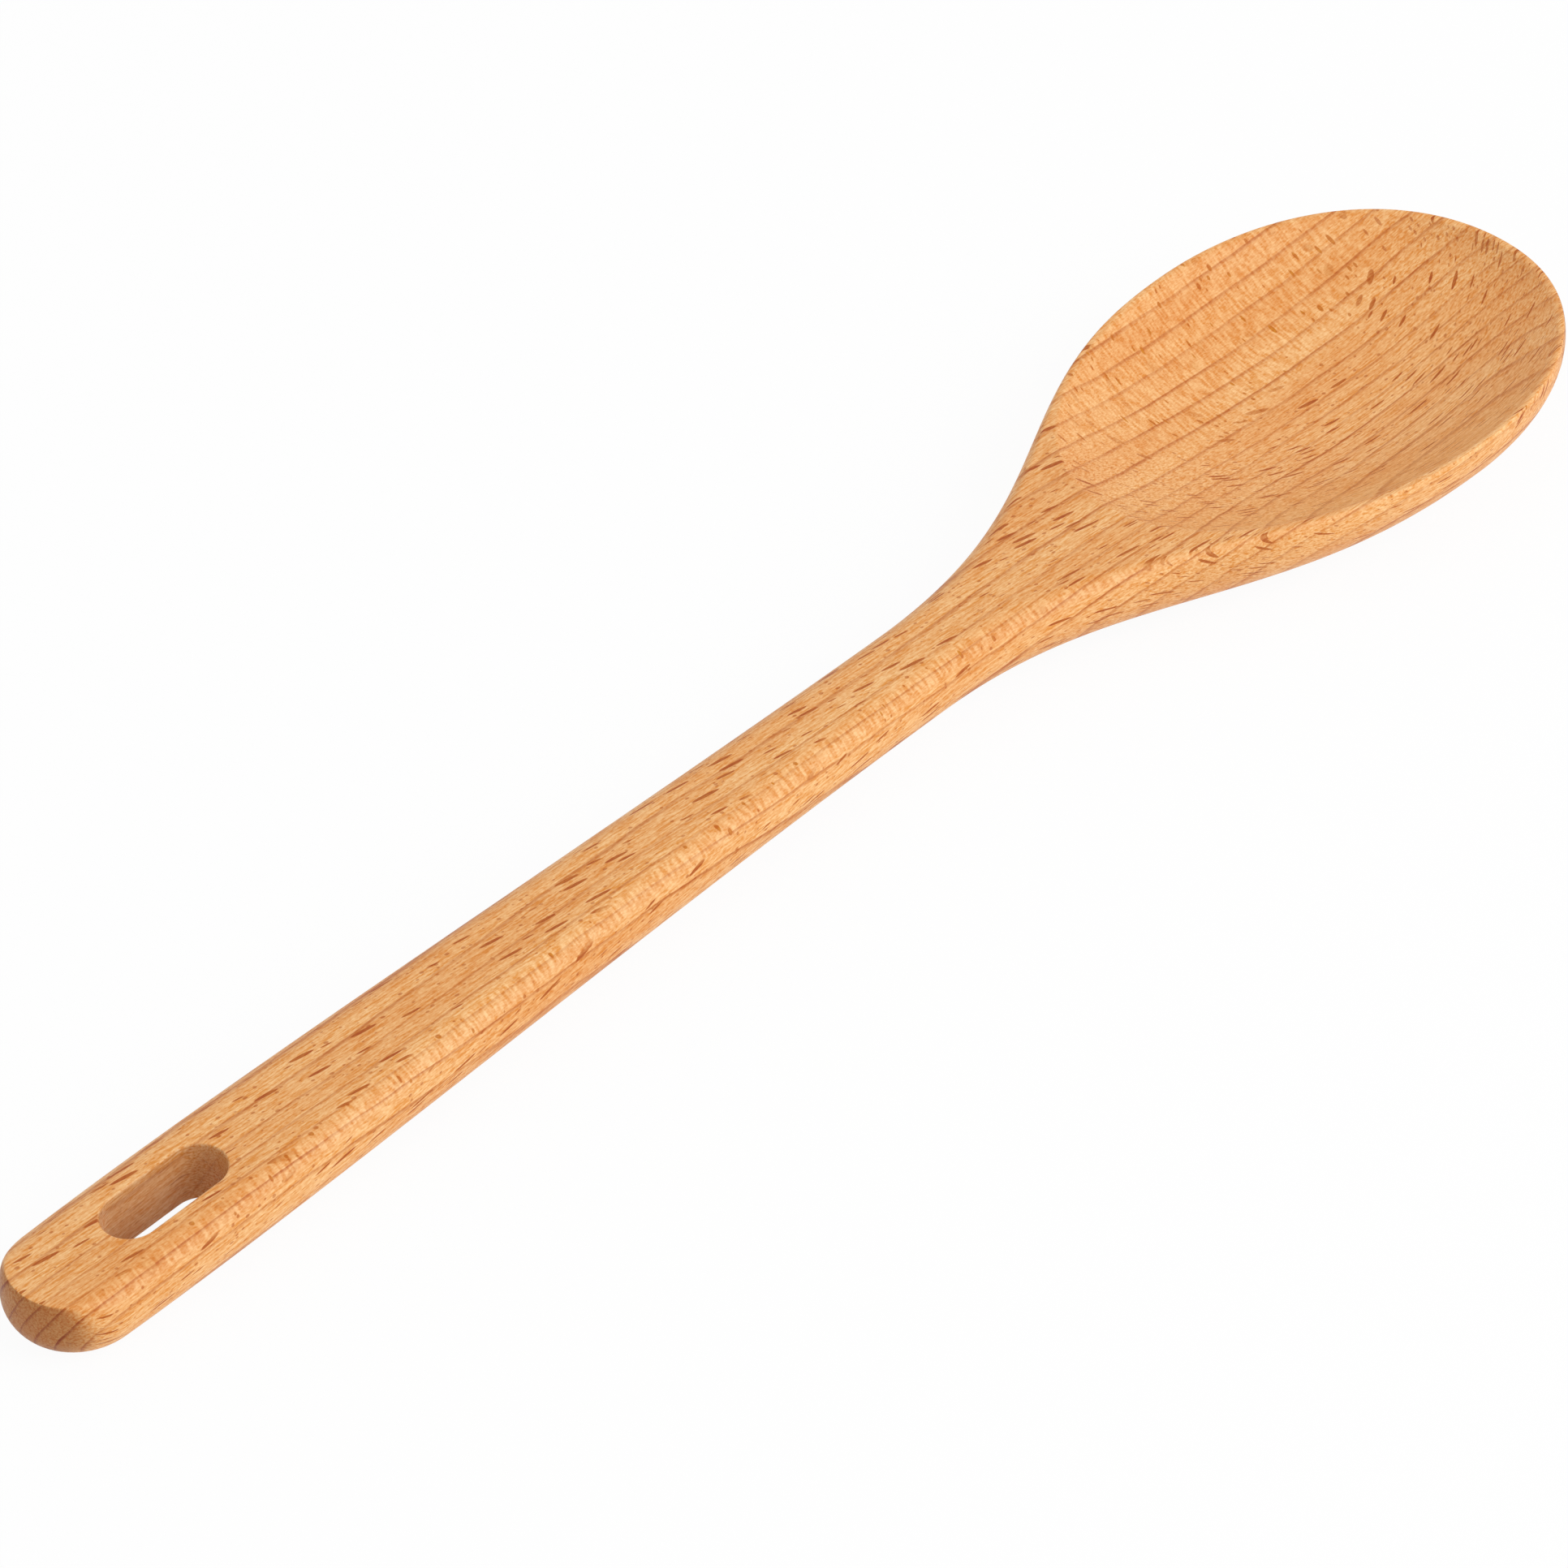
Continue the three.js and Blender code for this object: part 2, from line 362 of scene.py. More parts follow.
def side_fall(tree, size, along, across):
    """How far the rounding of the handle's sides lowers a place over the handle's end."""
    half_end = add_node(tree, MATH, (size["Handle end width"], 0.5), operation="MULTIPLY")
    flat_edge = add_node(tree, MATH, (half_end, size["Handle side round"]), operation="SUBTRACT")
    out = add_node(tree, MATH, (across,), operation="ABSOLUTE")
    share = add_node(tree, MAP_RANGE, (out, flat_edge, half_end))
    level = add_node(tree, MATH, (share, share), operation="MULTIPLY")
    level = add_node(tree, MATH, (1.0, level), operation="SUBTRACT")
    level = add_node(tree, MATH, (level,), operation="SQRT")
    fallen = add_node(tree, MATH, (1.0, level), operation="SUBTRACT")
    half_thickness = add_node(tree, MATH, (size["Handle thickness"], 0.5), operation="MULTIPLY")
    fallen = add_node(tree, MATH, (fallen, half_thickness), operation="MULTIPLY")
    over_end = add_node(tree, MATH, (along, size["Spine start station"]), operation="LESS_THAN")
    return add_node(tree, MATH, (fallen, over_end), operation="MULTIPLY")


def edge_rounds(tree, size, along, across, reach):
    """How far the edge's rounds reach inwards and down along the spoon, and the flat land beside them."""
    sideways = add_node(tree, MATH, (across, across), operation="MULTIPLY")
    crisp = add_node(tree, MATH, (across, size["End crispness"]), operation="POWER")
    bowl = add_node(
        tree, MAP_RANGE, (along, size["Waist station"], size["Widest station"]),
        interpolation_type="SMOOTHSTEP",
    )
    rim = add_node(
        tree, MAP_RANGE, (along, size["Waist station"], size["Thin rim station"]),
        interpolation_type="SMOOTHSTEP",
    )
    side_run = size["Handle side round"]
    handle_run = add_node(tree, MIX, (crisp, size["Handle end round"], side_run))
    top_run = add_node(tree, MIX, (rim, handle_run, size["Rim round"]))
    half_thickness = add_node(tree, MATH, (size["Handle thickness"], 0.5), operation="MULTIPLY")
    top_drop = add_node(tree, MIX, (bowl, half_thickness, size["Rim drop"]))
    handle_under = add_node(tree, MIX, (sideways, size["Handle end under round"], side_run))
    bowl_under = add_node(tree, MATH, (reach, size["Back round share"]), operation="MULTIPLY")
    under_run = add_node(tree, MIX, (bowl, handle_under, bowl_under))
    land = add_node(tree, MATH, (side_run, handle_run), operation="SUBTRACT")
    land = add_node(tree, MATH, (land, size["Flat beside edge"]), operation="ADD")
    land = add_node(tree, MIX, (rim, land, size["Flat beside rim"]))
    return top_run, top_drop, under_run, land


def edge_strip(tree, size, plan, place, ring):
    """The rounded edge of the whole spoon: over the top edge, round the belt and under the back."""
    belt = LAND_STEPS + EDGE_STEPS
    end = belt + BACK_STEPS
    last = end + 1
    strip = loop_strip(tree, plan, 0, OUTLINE_POINTS, last + 1)
    along, direction, reach = inward_of(tree, place, size["Spine start station"], size["Widest station"])
    across = add_node(tree, "ShaderNodeSeparateXYZ", (direction,), output="Y")
    across = add_node(tree, MATH, (across,), operation="ABSOLUTE")
    top_run, top_drop, under_run, land = edge_rounds(tree, size, along, across, reach)

    top_sine, top_cosine = quarter_turn(tree, ring, LAND_STEPS, belt)
    under_sine, under_cosine = quarter_turn(tree, ring, belt, end)
    top_share = add_node(tree, MATH, (1.0, top_sine), operation="SUBTRACT")
    under_share = add_node(tree, MATH, (1.0, under_cosine), operation="SUBTRACT")
    top_flat = add_node(tree, MAP_RANGE, (ring, 0.0, LAND_STEPS, land, 0.0))
    under_flat = add_node(tree, MAP_RANGE, (ring, end, last, 0.0, size["Flat beside edge"]))
    inset = add_node(tree, MATH, (top_run, top_share, top_flat), operation="MULTIPLY_ADD")
    inset = add_node(tree, MATH, (under_run, under_share, inset), operation="MULTIPLY_ADD")
    inset = add_node(tree, MATH, (inset, under_flat), operation="ADD")
    fallen = add_node(tree, MATH, (1.0, top_cosine), operation="SUBTRACT")
    drop = add_node(tree, MATH, (top_drop, fallen), operation="MULTIPLY")

    away = add_node(tree, MATH, (reach, inset), operation="SUBTRACT")
    spot_across = add_node(tree, MATH, (away, across), operation="MULTIPLY")
    drop = add_node(
        tree, MATH, (drop, side_fall(tree, size, along, spot_across)), operation="MAXIMUM",
    )
    heights = {"drop": drop, "sink": under_sine}
    return lay_strip(tree, strip, place, direction, inset, heights), last


def hollow_strip(tree, size, plan, place, ring):
    """The hollow of the bowl: from the flat rim over a softened lip down to the deepest place."""
    strip = loop_strip(tree, plan, 1, HOLLOW_POINTS, HOLLOW_STEPS + 1)
    deepest = size["Deepest station"]
    along, direction, reach = inward_of(tree, place, deepest, deepest)
    part = add_node(tree, MATH, (ring, HOLLOW_STEPS), operation="DIVIDE")
    part = add_node(tree, MATH, (part, HOLLOW_STEP_EASE), operation="POWER")
    lip = size["Lip round"]
    before_lip = add_node(tree, MATH, (lip, -1.0), operation="MULTIPLY")
    inset = add_node(tree, MIX, (part, before_lip, reach))

    turned = add_node(tree, MAP_RANGE, (inset, before_lip, lip, 0.0, 1.0))
    turned = add_node(tree, MATH, (turned, turned), operation="MULTIPLY")
    past_lip = add_node(tree, MATH, (inset, lip), operation="SUBTRACT")
    past_lip = add_node(tree, MATH, (past_lip, 0.0), operation="MAXIMUM")
    depth_run = add_node(tree, MATH, (turned, lip, past_lip), operation="MULTIPLY_ADD")
    share = add_node(tree, MAP_RANGE, (depth_run, 0.0, reach, 1.0, 0.0))
    at_rim = add_node(
        tree, MAP_RANGE, (along, size["Lip station"], size["Widest station"]),
        interpolation_type="SMOOTHSTEP",
    )
    power = add_node(tree, MIX, (at_rim, size["Hollow power at lip"], size["Hollow power at rim"]))
    raised = add_node(tree, MATH, (share, power), operation="POWER")
    sink = add_node(tree, MATH, (1.0, raised), operation="SUBTRACT")
    heights = {"sink": sink, "in hollow": 1.0}
    return lay_strip(tree, strip, place, direction, inset, heights)


def slot_strip(tree, size, plan, place, ring):
    """The wall of the hanging slot, with its two mouths softened."""
    wall_start = 1 + MOUTH_STEPS
    wall_end = wall_start + WALL_STEPS
    end = wall_end + MOUTH_STEPS
    last = end + 1
    strip = loop_strip(tree, plan, 2, SLOT_POINTS, last + 1)
    _, direction, _ = inward_of(tree, place, size["Slot near station"], size["Slot far station"])
    mouth = size["Slot mouth round"]
    top_sine, top_cosine = quarter_turn(tree, ring, 1, wall_start)
    under_sine, under_cosine = quarter_turn(tree, ring, wall_end, end)
    top_share = add_node(tree, MATH, (1.0, top_sine), operation="SUBTRACT")
    under_share = add_node(tree, MATH, (1.0, under_cosine), operation="SUBTRACT")
    both = add_node(tree, MATH, (top_share, under_share), operation="ADD")
    top_flat = add_node(tree, MAP_RANGE, (ring, 0.0, 1.0, size["Flat beside edge"], 0.0))
    under_flat = add_node(tree, MAP_RANGE, (ring, end, last, 0.0, size["Flat beside edge"]))
    outset = add_node(tree, MATH, (both, mouth, top_flat), operation="MULTIPLY_ADD")
    outset = add_node(tree, MATH, (outset, under_flat), operation="ADD")
    inset = add_node(tree, MATH, (outset, -1.0), operation="MULTIPLY")

    fallen = add_node(tree, MATH, (1.0, top_cosine), operation="SUBTRACT")
    drop = add_node(tree, MATH, (mouth, fallen), operation="MULTIPLY")
    wall = add_node(tree, MATH, (size["Handle thickness"], mouth), operation="SUBTRACT")
    mouth_share = add_node(tree, MATH, (mouth, wall), operation="DIVIDE")
    wall_foot = add_node(tree, MATH, (1.0, mouth_share), operation="SUBTRACT")
    down_wall = add_node(tree, MAP_RANGE, (ring, wall_start, wall_end, 0.0, wall_foot))
    sink = add_node(tree, MATH, (under_sine, mouth_share, down_wall), operation="MULTIPLY_ADD")
    return lay_strip(tree, strip, place, direction, inset, {"drop": drop, "sink": sink}), last


def fill_between(tree, ring, strips):
    """A flat sheet between rings, given as pairs of a strip and the number of its ring."""
    loops = []
    for strip, number in strips:
        this_ring = add_node(tree, MATH, (ring, number, RING_MARGIN), operation="COMPARE")
        loops.append(add_node(tree, "GeometryNodeMeshToCurve", {"Mesh": strip, "Selection": this_ring}))
    joined = add_node(tree, "GeometryNodeJoinGeometry", {"Geometry": loops})
    return add_node(tree, "GeometryNodeFillCurve", {"Curve": joined}, mode="TRIANGLES")


def give_heights(tree, size, body, drop, sink, in_hollow):
    """Gives each point its height, between the spoon's top line and its back or the hollow's floor."""
    position = add_node(tree, "GeometryNodeInputPosition")
    along = add_node(tree, "ShaderNodeSeparateXYZ", (position,), output="X")
    across = add_node(tree, "ShaderNodeSeparateXYZ", (position,), output="Y")
    part = add_node(tree, MAP_RANGE, (along, size["End station"], size["Widest station"]), clamp=False)
    straight = add_node(
        tree, MIX, (part, size["Handle thickness"], size["Bowl height"]), clamp_factor=False,
    )
    rest = add_node(tree, MATH, (1.0, part), operation="SUBTRACT")
    arch = add_node(tree, MATH, (part, rest), operation="MULTIPLY")
    # The product of the two shares is a quarter at the middle of the arch, where the rise is full
    arch_height = add_node(tree, MATH, (size["Arch rise"], 4.0), operation="MULTIPLY")
    top_line = add_node(tree, MATH, (arch, arch_height, straight), operation="MULTIPLY_ADD")
    lifted = add_node(tree, MATH, (top_line, size["Handle thickness"]), operation="SUBTRACT")
    eased = add_node(
        tree, MAP_RANGE, (along, size["Waist station"], size["Rest flat station"], 1.0, 0.0),
        interpolation_type="SMOOTHSTEP",
    )
    back_line = add_node(tree, MATH, (lifted, eased), operation="MULTIPLY")
    upper = add_node(tree, MATH, (top_line, drop), operation="SUBTRACT")
    lower = add_node(tree, MIX, (in_hollow, back_line, size["Bowl floor"]))
    height = add_node(tree, MIX, (sink, upper, lower))
    spot = add_node(tree, "ShaderNodeCombineXYZ", (along, across, height))
    spot = add_node(tree, VECTOR_MATH, {"Vector": spot, "Scale": METRES_PER_MM}, operation="SCALE")
    return add_node(tree, "GeometryNodeSetPosition", {"Geometry": body, "Position": spot})


def carving_tree():
    tree = bpy.data.node_groups.new("carved spoon", "GeometryNodeTree")
    tree.interface.new_socket("Plan", in_out="INPUT", socket_type="NodeSocketGeometry")
    for name in CARVING_SIZES:
        tree.interface.new_socket(name, in_out="INPUT", socket_type="NodeSocketFloat")
    tree.interface.new_socket("Finish", in_out="INPUT", socket_type="NodeSocketMaterial")
    tree.interface.new_socket("Body", in_out="OUTPUT", socket_type="NodeSocketGeometry")
    size = tree.nodes.new("NodeGroupInput").outputs
    place = add_node(tree, "GeometryNodeInputNamedAttribute", ("loop place",), data_type="FLOAT_VECTOR")
    ring, drop, sink, in_hollow = (
        add_node(tree, "GeometryNodeInputNamedAttribute", (name,), data_type="FLOAT")
        for name in ("ring", "drop", "sink", "in hollow")
    )

    edge, edge_last = edge_strip(tree, size, size["Plan"], place, ring)
    hollow = hollow_strip(tree, size, size["Plan"], place, ring)
    slot, slot_last = slot_strip(tree, size, size["Plan"], place, ring)
    top = fill_between(tree, ring, [(edge, 0), (hollow, 0), (slot, 0)])
    under = fill_between(tree, ring, [(edge, edge_last), (slot, slot_last)])
    under = add_node(
        tree, "GeometryNodeStoreNamedAttribute", {"Geometry": under, "Name": "sink", "Value": 1.0},
        data_type="FLOAT", domain="POINT",
    )
    body = add_node(tree, "GeometryNodeJoinGeometry", {"Geometry": [edge, hollow, slot, top, under]})
    body = give_heights(tree, size, body, drop, sink, in_hollow)
    closed = {"Geometry": body, "Distance": MERGE_DISTANCE * METRES_PER_MM}
    body = add_node(tree, "GeometryNodeMergeByDistance", closed)
    body = add_node(tree, "GeometryNodeSetShadeSmooth", {"Geometry": body, "Shade Smooth": True})
    body = add_node(tree, "GeometryNodeRealizeInstances", (body,))
    body = add_node(tree, "GeometryNodeSetMaterial", {"Geometry": body, "Material": size["Finish"]})
    add_node(tree, "NodeGroupOutput", (body,))
    return tree


def carve_spoon(finish):
    """Carves the spoon from its plan and returns it as a plain mesh object."""
    plan = spoon_plan()
    tree = carving_tree()
    carving = plan.modifiers.new("carving", "NODES")
    carving.node_group = tree
    values = {**CARVING_SIZES, "Finish": finish}
    for socket in tree.interface.items_tree:
        if socket.in_out == "INPUT" and socket.name in values:
            carving[socket.identifier] = values[socket.name]
    depsgraph = bpy.context.evaluated_depsgraph_get()
    mesh = bpy.data.meshes.new_from_object(plan.evaluated_get(depsgraph), depsgraph=depsgraph)
    plan.modifiers.remove(carving)
    bpy.data.objects.remove(plan)

    shell = bmesh.new()
    shell.from_mesh(mesh)
    bmesh.ops.recalc_face_normals(shell, faces=shell.faces)
    shell.to_mesh(mesh)
    shell.free()
    for note in ("loop place", "ring", "drop", "sink", "in hollow"):
        mesh.attributes.remove(mesh.attributes[note])
    mesh.name = "spoon"
    mesh.materials.clear()
    mesh.materials.append(finish)
    spoon = bpy.data.objects.new("spoon", mesh)
    bpy.context.scene.collection.objects.link(spoon)
    return spoon


# Finish

# Oiled beech, sanded smooth: a warm orange wood with a satin gloss. Thin brown growth rings run along
# the spoon, short dark dashes are its rays cut across, and where a face lies along the rays they
# spread into curled flecks. Dark fibres are more orange, and light ones paler. End grain soaks up more
# oil and is darker. The slot's wall is painted greyer and darker, as painted shade in the recess.
PALE_WOOD = "#FFD094"
WARM_WOOD = "#F6BC7B"
LATE_WOOD = "#C06602"
RAY_CUT_ACROSS = "#BC6402"
RAY_SEEN_FLAT = "#D18202"
END_GRAIN = "#B09470"
# Painted shade: a greyer, darker colour that the slot's wall is mixed towards
SLOT_SHADE_GREY = "#DDB486"
DARK_FIBRE = "#E3B671"
LIGHT_FIBRE = "#FFFFFF"

# The pith of the tree lay beside and below the spoon
PITH_SIDEWAYS = 60.0
PITH_BELOW = 25.0

# Growth rings: spacing nearer to and farther from the pith, and how they wander along the grain
RING_SPACING_INNER = 2.4
RING_SPACING_OUTER = 3.8
RING_CHANGE_RADIUS = 70.0
RING_PHASE = 0.12
RING_WANDER = 2.4
RING_WANDER_SIZE = (75.0, 40.0, 40.0)
RING_RIPPLE = 0.35
RING_RIPPLE_SIZE = (11.0, 5.0, 5.0)

# Late wood: the shares of a year at which its line begins and is darkest, and the year's slow darkening
LATE_WOOD_BEGINS = 0.78
LATE_WOOD_DARKEST = 0.95
YEAR_DARKENING = 0.12
YEAR_DARKENING_POWER = 2.0

# Strength of a ring's line in the weakest and the strongest year, and how it fades from place to place
RING_STRENGTH = (0.35, 0.85)
RING_FADE = (0.45, 1.0)
RING_FADE_NOISE = (0.35, 0.60)
RING_FADE_SIZE = (14.0, 3.0, 3.0)

# Rays: the room for each one along the grain, round the pith and out from the pith, the least and most
# of that room that its half fills, and the share over which its edge fades. A share below nothing leaves
# rays out. A real ray is only about 0.1 mm thick: these are up to three times as thick, so that they show.
BIG_RAY_ROOM = (8.0, 0.50, 4.5)
BIG_RAY_HALF = (0.08, 0.34)
BIG_RAY_FADE = 0.06
SMALL_RAY_ROOM = (1.2, 0.36, 3.8)
SMALL_RAY_HALF = (-0.16, 0.38)
SMALL_RAY_FADE = 0.12

# Strength of the rays where they are cut across and where they are seen flat
BIG_RAY_STRENGTH = (0.95, 0.25)
SMALL_RAY_STRENGTH = (0.60, 0.95)

# Drift of the rays round the pith for each millimetre along the grain
RAY_TWIST = -0.10

# Shares of a face's normal at which it begins to lie along the rays and lies fully along them, and the
# same for a face that is cut across the grain
RAY_FACE = (0.90, 0.99)
END_FACE = (0.35, 0.75)

# End grain: how far it takes its darker colour, how strong its rings are, and where big rays are gone
END_GRAIN_MOST = 0.8
END_RING_STRENGTH = 1.4
END_WITHOUT_RAYS = 0.6

# Slot's wall: the share of the end grain's darkening that it keeps, and how far it takes the grey painted
# shade
SLOT_END_GRAIN = 0.3
SLOT_SHADE_SHARE = 0.6

# Fine texture: fibres and pores along the grain, and silky strokes across it on faces along the rays.
# Real fibres and pores are under 0.1 mm wide, too fine to show, so these are drawn 0.2 to 0.3 mm wide.
FIBRE_SIZE = (7.0, 0.28, 0.28)
FIBRE_NOISE = (0.34, 0.60)
FIBRE_SHADE = (0.25, 0.65)
PORE_SIZE = (0.7, 0.22, 0.22)
SILK_SIZE = (0.6, 1.8, 2.4)
SILK_NOISE = (0.36, 0.64)
SILK_SHADE = (0.32, 0.68)

# Range of the texture from dark to light, the roughness at both ends, and the relief it gives
TEXTURE_RANGE = (0.7, 1.3)
TEXTURE_ROUGHNESS = (0.54, 0.44)
RELIEF_STRENGTH = 0.4
RELIEF_HEIGHT = 0.05
RAY_PIT_DEPTH = 0.6

# Soft bands of paler and warmer wood
BAND_SIZE = (90.0, 9.0, 6.0)
BAND_NOISE = (0.3, 0.7)


def wood_grain(tree):
    """Places in the wood in millimetres: plain, from the pith, and along, round and out from the pith."""
    spot = add_node(tree, "ShaderNodeTexCoord", output="Object")
    spot = add_node(tree, VECTOR_MATH, {"Vector": spot, "Scale": 1 / METRES_PER_MM}, operation="SCALE")
    along = add_node(tree, "ShaderNodeSeparateXYZ", (spot,), output="X")
    from_pith = add_node(tree, VECTOR_MATH, (spot, (0, PITH_SIDEWAYS, PITH_BELOW)), operation="ADD")
    from_pith = add_node(tree, VECTOR_MATH, (from_pith, (0, 1, 1)), operation="MULTIPLY")
    radius = add_node(tree, VECTOR_MATH, (from_pith,), operation="LENGTH", output="Value")
    sideways = add_node(tree, "ShaderNodeSeparateXYZ", (from_pith,), output="Y")
    upwards = add_node(tree, "ShaderNodeSeparateXYZ", (from_pith,), output="Z")
    angle = add_node(tree, MATH, (upwards, sideways), operation="ARCTAN2")
    twist = add_node(tree, MATH, (along, RAY_TWIST), operation="MULTIPLY")
    pith_distance = math.hypot(PITH_SIDEWAYS, PITH_BELOW)
    around = add_node(tree, MATH, (angle, pith_distance, twist), operation="MULTIPLY_ADD")
    grain = add_node(tree, "ShaderNodeCombineXYZ", (along, around, radius))
    return spot, from_pith, radius, grain


def tree_years(tree, spot, radius):
    """The number of rings between the pith and each spot, with the wander of the rings in it."""
    wander = add_node(tree, VECTOR_MATH, (spot, RING_WANDER_SIZE), operation="DIVIDE")
    wander = add_node(tree, NOISE, {"Vector": wander, "Scale": 1.0, "Detail": 1.0})
    ripple = add_node(tree, VECTOR_MATH, (spot, RING_RIPPLE_SIZE), operation="DIVIDE")
    ripple = add_node(tree, NOISE, {"Vector": ripple, "Scale": 1.0, "Detail": 3.0})
    moved = add_node(tree, MATH, (wander, 2 * RING_WANDER, radius), operation="MULTIPLY_ADD")
    moved = add_node(tree, MATH, (ripple, 2 * RING_RIPPLE, moved), operation="MULTIPLY_ADD")
    moved = add_node(tree, MATH, (moved, RING_WANDER + RING_RIPPLE), operation="SUBTRACT")
    outer_years = add_node(tree, MATH, (moved, RING_SPACING_OUTER), operation="DIVIDE")
    inner_radius = add_node(tree, MATH, (moved, RING_CHANGE_RADIUS), operation="MINIMUM")
    extra_years = 1 / RING_SPACING_INNER - 1 / RING_SPACING_OUTER
    years = add_node(tree, MATH, (inner_radius, extra_years, outer_years), operation="MULTIPLY_ADD")
    return add_node(tree, MATH, (years, RING_PHASE), operation="ADD")


def growth_rings(tree, spot, years):
    """A line at the end of each year's growth, uneven in strength, and the year's slow darkening."""
    year = add_node(tree, MATH, (years,), operation="FLOOR")
    season = add_node(tree, MATH, (years,), operation="FRACT")
    late = add_node(
        tree, MAP_RANGE, (season, LATE_WOOD_BEGINS, LATE_WOOD_DARKEST), interpolation_type="SMOOTHSTEP",
    )
    ended = add_node(
        tree, MAP_RANGE, (season, LATE_WOOD_DARKEST, 1.0, 1.0, 0.0), interpolation_type="SMOOTHSTEP",
    )
    line = add_node(tree, MATH, (late, ended), operation="MULTIPLY")
    strength = add_node(tree, "ShaderNodeTexWhiteNoise", (year,), noise_dimensions="1D", output="Value")
    strength = add_node(tree, MAP_RANGE, (strength, 0.0, 1.0, *RING_STRENGTH))
    fade = add_node(tree, VECTOR_MATH, (spot, RING_FADE_SIZE), operation="DIVIDE")
    fade = add_node(tree, NOISE, {"Vector": fade, "Scale": 1.0, "Detail": 1.0})
    fade = add_node(tree, MAP_RANGE, (fade, *RING_FADE_NOISE, *RING_FADE))
    strength = add_node(tree, MATH, (strength, fade), operation="MULTIPLY")
    darkening = add_node(tree, MATH, (season, YEAR_DARKENING_POWER), operation="POWER")
    darkening = add_node(tree, MATH, (darkening, YEAR_DARKENING), operation="MULTIPLY")
    darkening = add_node(tree, MATH, (darkening, ended), operation="MULTIPLY")
    return add_node(tree, MATH, (line, strength, darkening), operation="MULTIPLY_ADD")


def wood_rays(tree, grain, room, half, fade):
    """Thin sheets that reach out from the pith, one in each room of the grain."""
    in_room = add_node(tree, VECTOR_MATH, (grain, room), operation="DIVIDE")
    distance = add_node(tree, "ShaderNodeTexVoronoi", {"Vector": in_room, "Scale": 1.0}, output="Distance")
    chance = add_node(tree, "ShaderNodeTexVoronoi", {"Vector": in_room, "Scale": 1.0}, output="Color")
    chance = add_node(tree, "ShaderNodeSeparateXYZ", (chance,), output="X")
    reach = add_node(tree, MAP_RANGE, (chance, 0.0, 1.0, *half))
    inside = add_node(tree, MATH, (reach, distance), operation="SUBTRACT")
    return add_node(tree, MAP_RANGE, (inside, 0.0, fade), interpolation_type="SMOOTHSTEP")


def face_directions(tree, from_pith):
    """How far a face lies along the rays, and how far it is cut across the grain."""
    normal = add_node(tree, "ShaderNodeNewGeometry", output="Normal")
    round_pith = add_node(tree, VECTOR_MATH, (from_pith, (1, 0, 0)), operation="CROSS_PRODUCT")
    round_pith = add_node(tree, VECTOR_MATH, (round_pith,), operation="NORMALIZE")
    flatness = add_node(tree, VECTOR_MATH, (normal, round_pith), operation="DOT_PRODUCT", output="Value")
    flatness = add_node(tree, MATH, (flatness,), operation="ABSOLUTE")
    flatness = add_node(tree, MAP_RANGE, (flatness, *RAY_FACE), interpolation_type="SMOOTHSTEP")
    end_cut = add_node(tree, "ShaderNodeSeparateXYZ", (normal,), output="X")
    end_cut = add_node(tree, MATH, (end_cut,), operation="ABSOLUTE")
    end_cut = add_node(
        tree, MAP_RANGE, (end_cut, *END_FACE, 0.0, END_GRAIN_MOST), interpolation_type="SMOOTHSTEP",
    )
    return flatness, end_cut


def fine_texture(tree, grain, flatness):
    """Fibres and pores, which give way to silky strokes across the grain on faces along the rays."""
    fibre = add_node(tree, VECTOR_MATH, (grain, FIBRE_SIZE), operation="DIVIDE")
    fibre = add_node(tree, NOISE, {"Vector": fibre, "Scale": 1.0, "Detail": 2.0})
    fibre = add_node(tree, MAP_RANGE, (fibre, *FIBRE_NOISE, *FIBRE_SHADE))
    pore = add_node(tree, VECTOR_MATH, (grain, PORE_SIZE), operation="DIVIDE")
    pore = add_node(tree, NOISE, {"Vector": pore, "Scale": 1.0, "Detail": 2.0})
    silk = add_node(tree, VECTOR_MATH, (grain, SILK_SIZE), operation="DIVIDE")
    silk = add_node(tree, NOISE, {"Vector": silk, "Scale": 1.0, "Detail": 1.0})
    silk = add_node(tree, MAP_RANGE, (silk, *SILK_NOISE, *SILK_SHADE))
    streaks = add_node(tree, MIX, (flatness, fibre, silk))
    return add_node(tree, MATH, (streaks, pore), operation="ADD")


def slot_wall(tree, spot):
    """One on the wall of the hanging slot and nothing outside its mouths."""
    along = add_node(tree, "ShaderNodeSeparateXYZ", (spot,), output="X")
    spine_x = add_node(tree, "ShaderNodeClamp", (along, SLOT_NEAR_X, SLOT_FAR_X))
    spine = add_node(tree, "ShaderNodeCombineXYZ", (spine_x, 0.0, 0.0))
    level = add_node(tree, VECTOR_MATH, (spot, (1, 1, 0)), operation="MULTIPLY")
    away = add_node(tree, VECTOR_MATH, (level, spine), operation="DISTANCE", output="Value")
    mouth = SLOT_RADIUS + CARVING_SIZES["Slot mouth round"]
    return add_node(
        tree, MAP_RANGE, (away, SLOT_RADIUS, mouth, 1.0, 0.0), interpolation_type="SMOOTHSTEP",
    )


def wood_colour(tree, grain, rings):
    """Soft bands of paler and warmer wood, with a brown line at each ring."""
    band = add_node(tree, VECTOR_MATH, (grain, BAND_SIZE), operation="DIVIDE")
    band = add_node(tree, NOISE, {"Vector": band, "Scale": 1.0, "Detail": 2.0})
    band = add_node(tree, MAP_RANGE, (band, *BAND_NOISE))
    colour = add_node(tree, MIX, (band, linear(PALE_WOOD), linear(WARM_WOOD)), data_type="RGBA")
    return add_node(tree, MIX, (rings, colour, linear(LATE_WOOD)), data_type="RGBA")


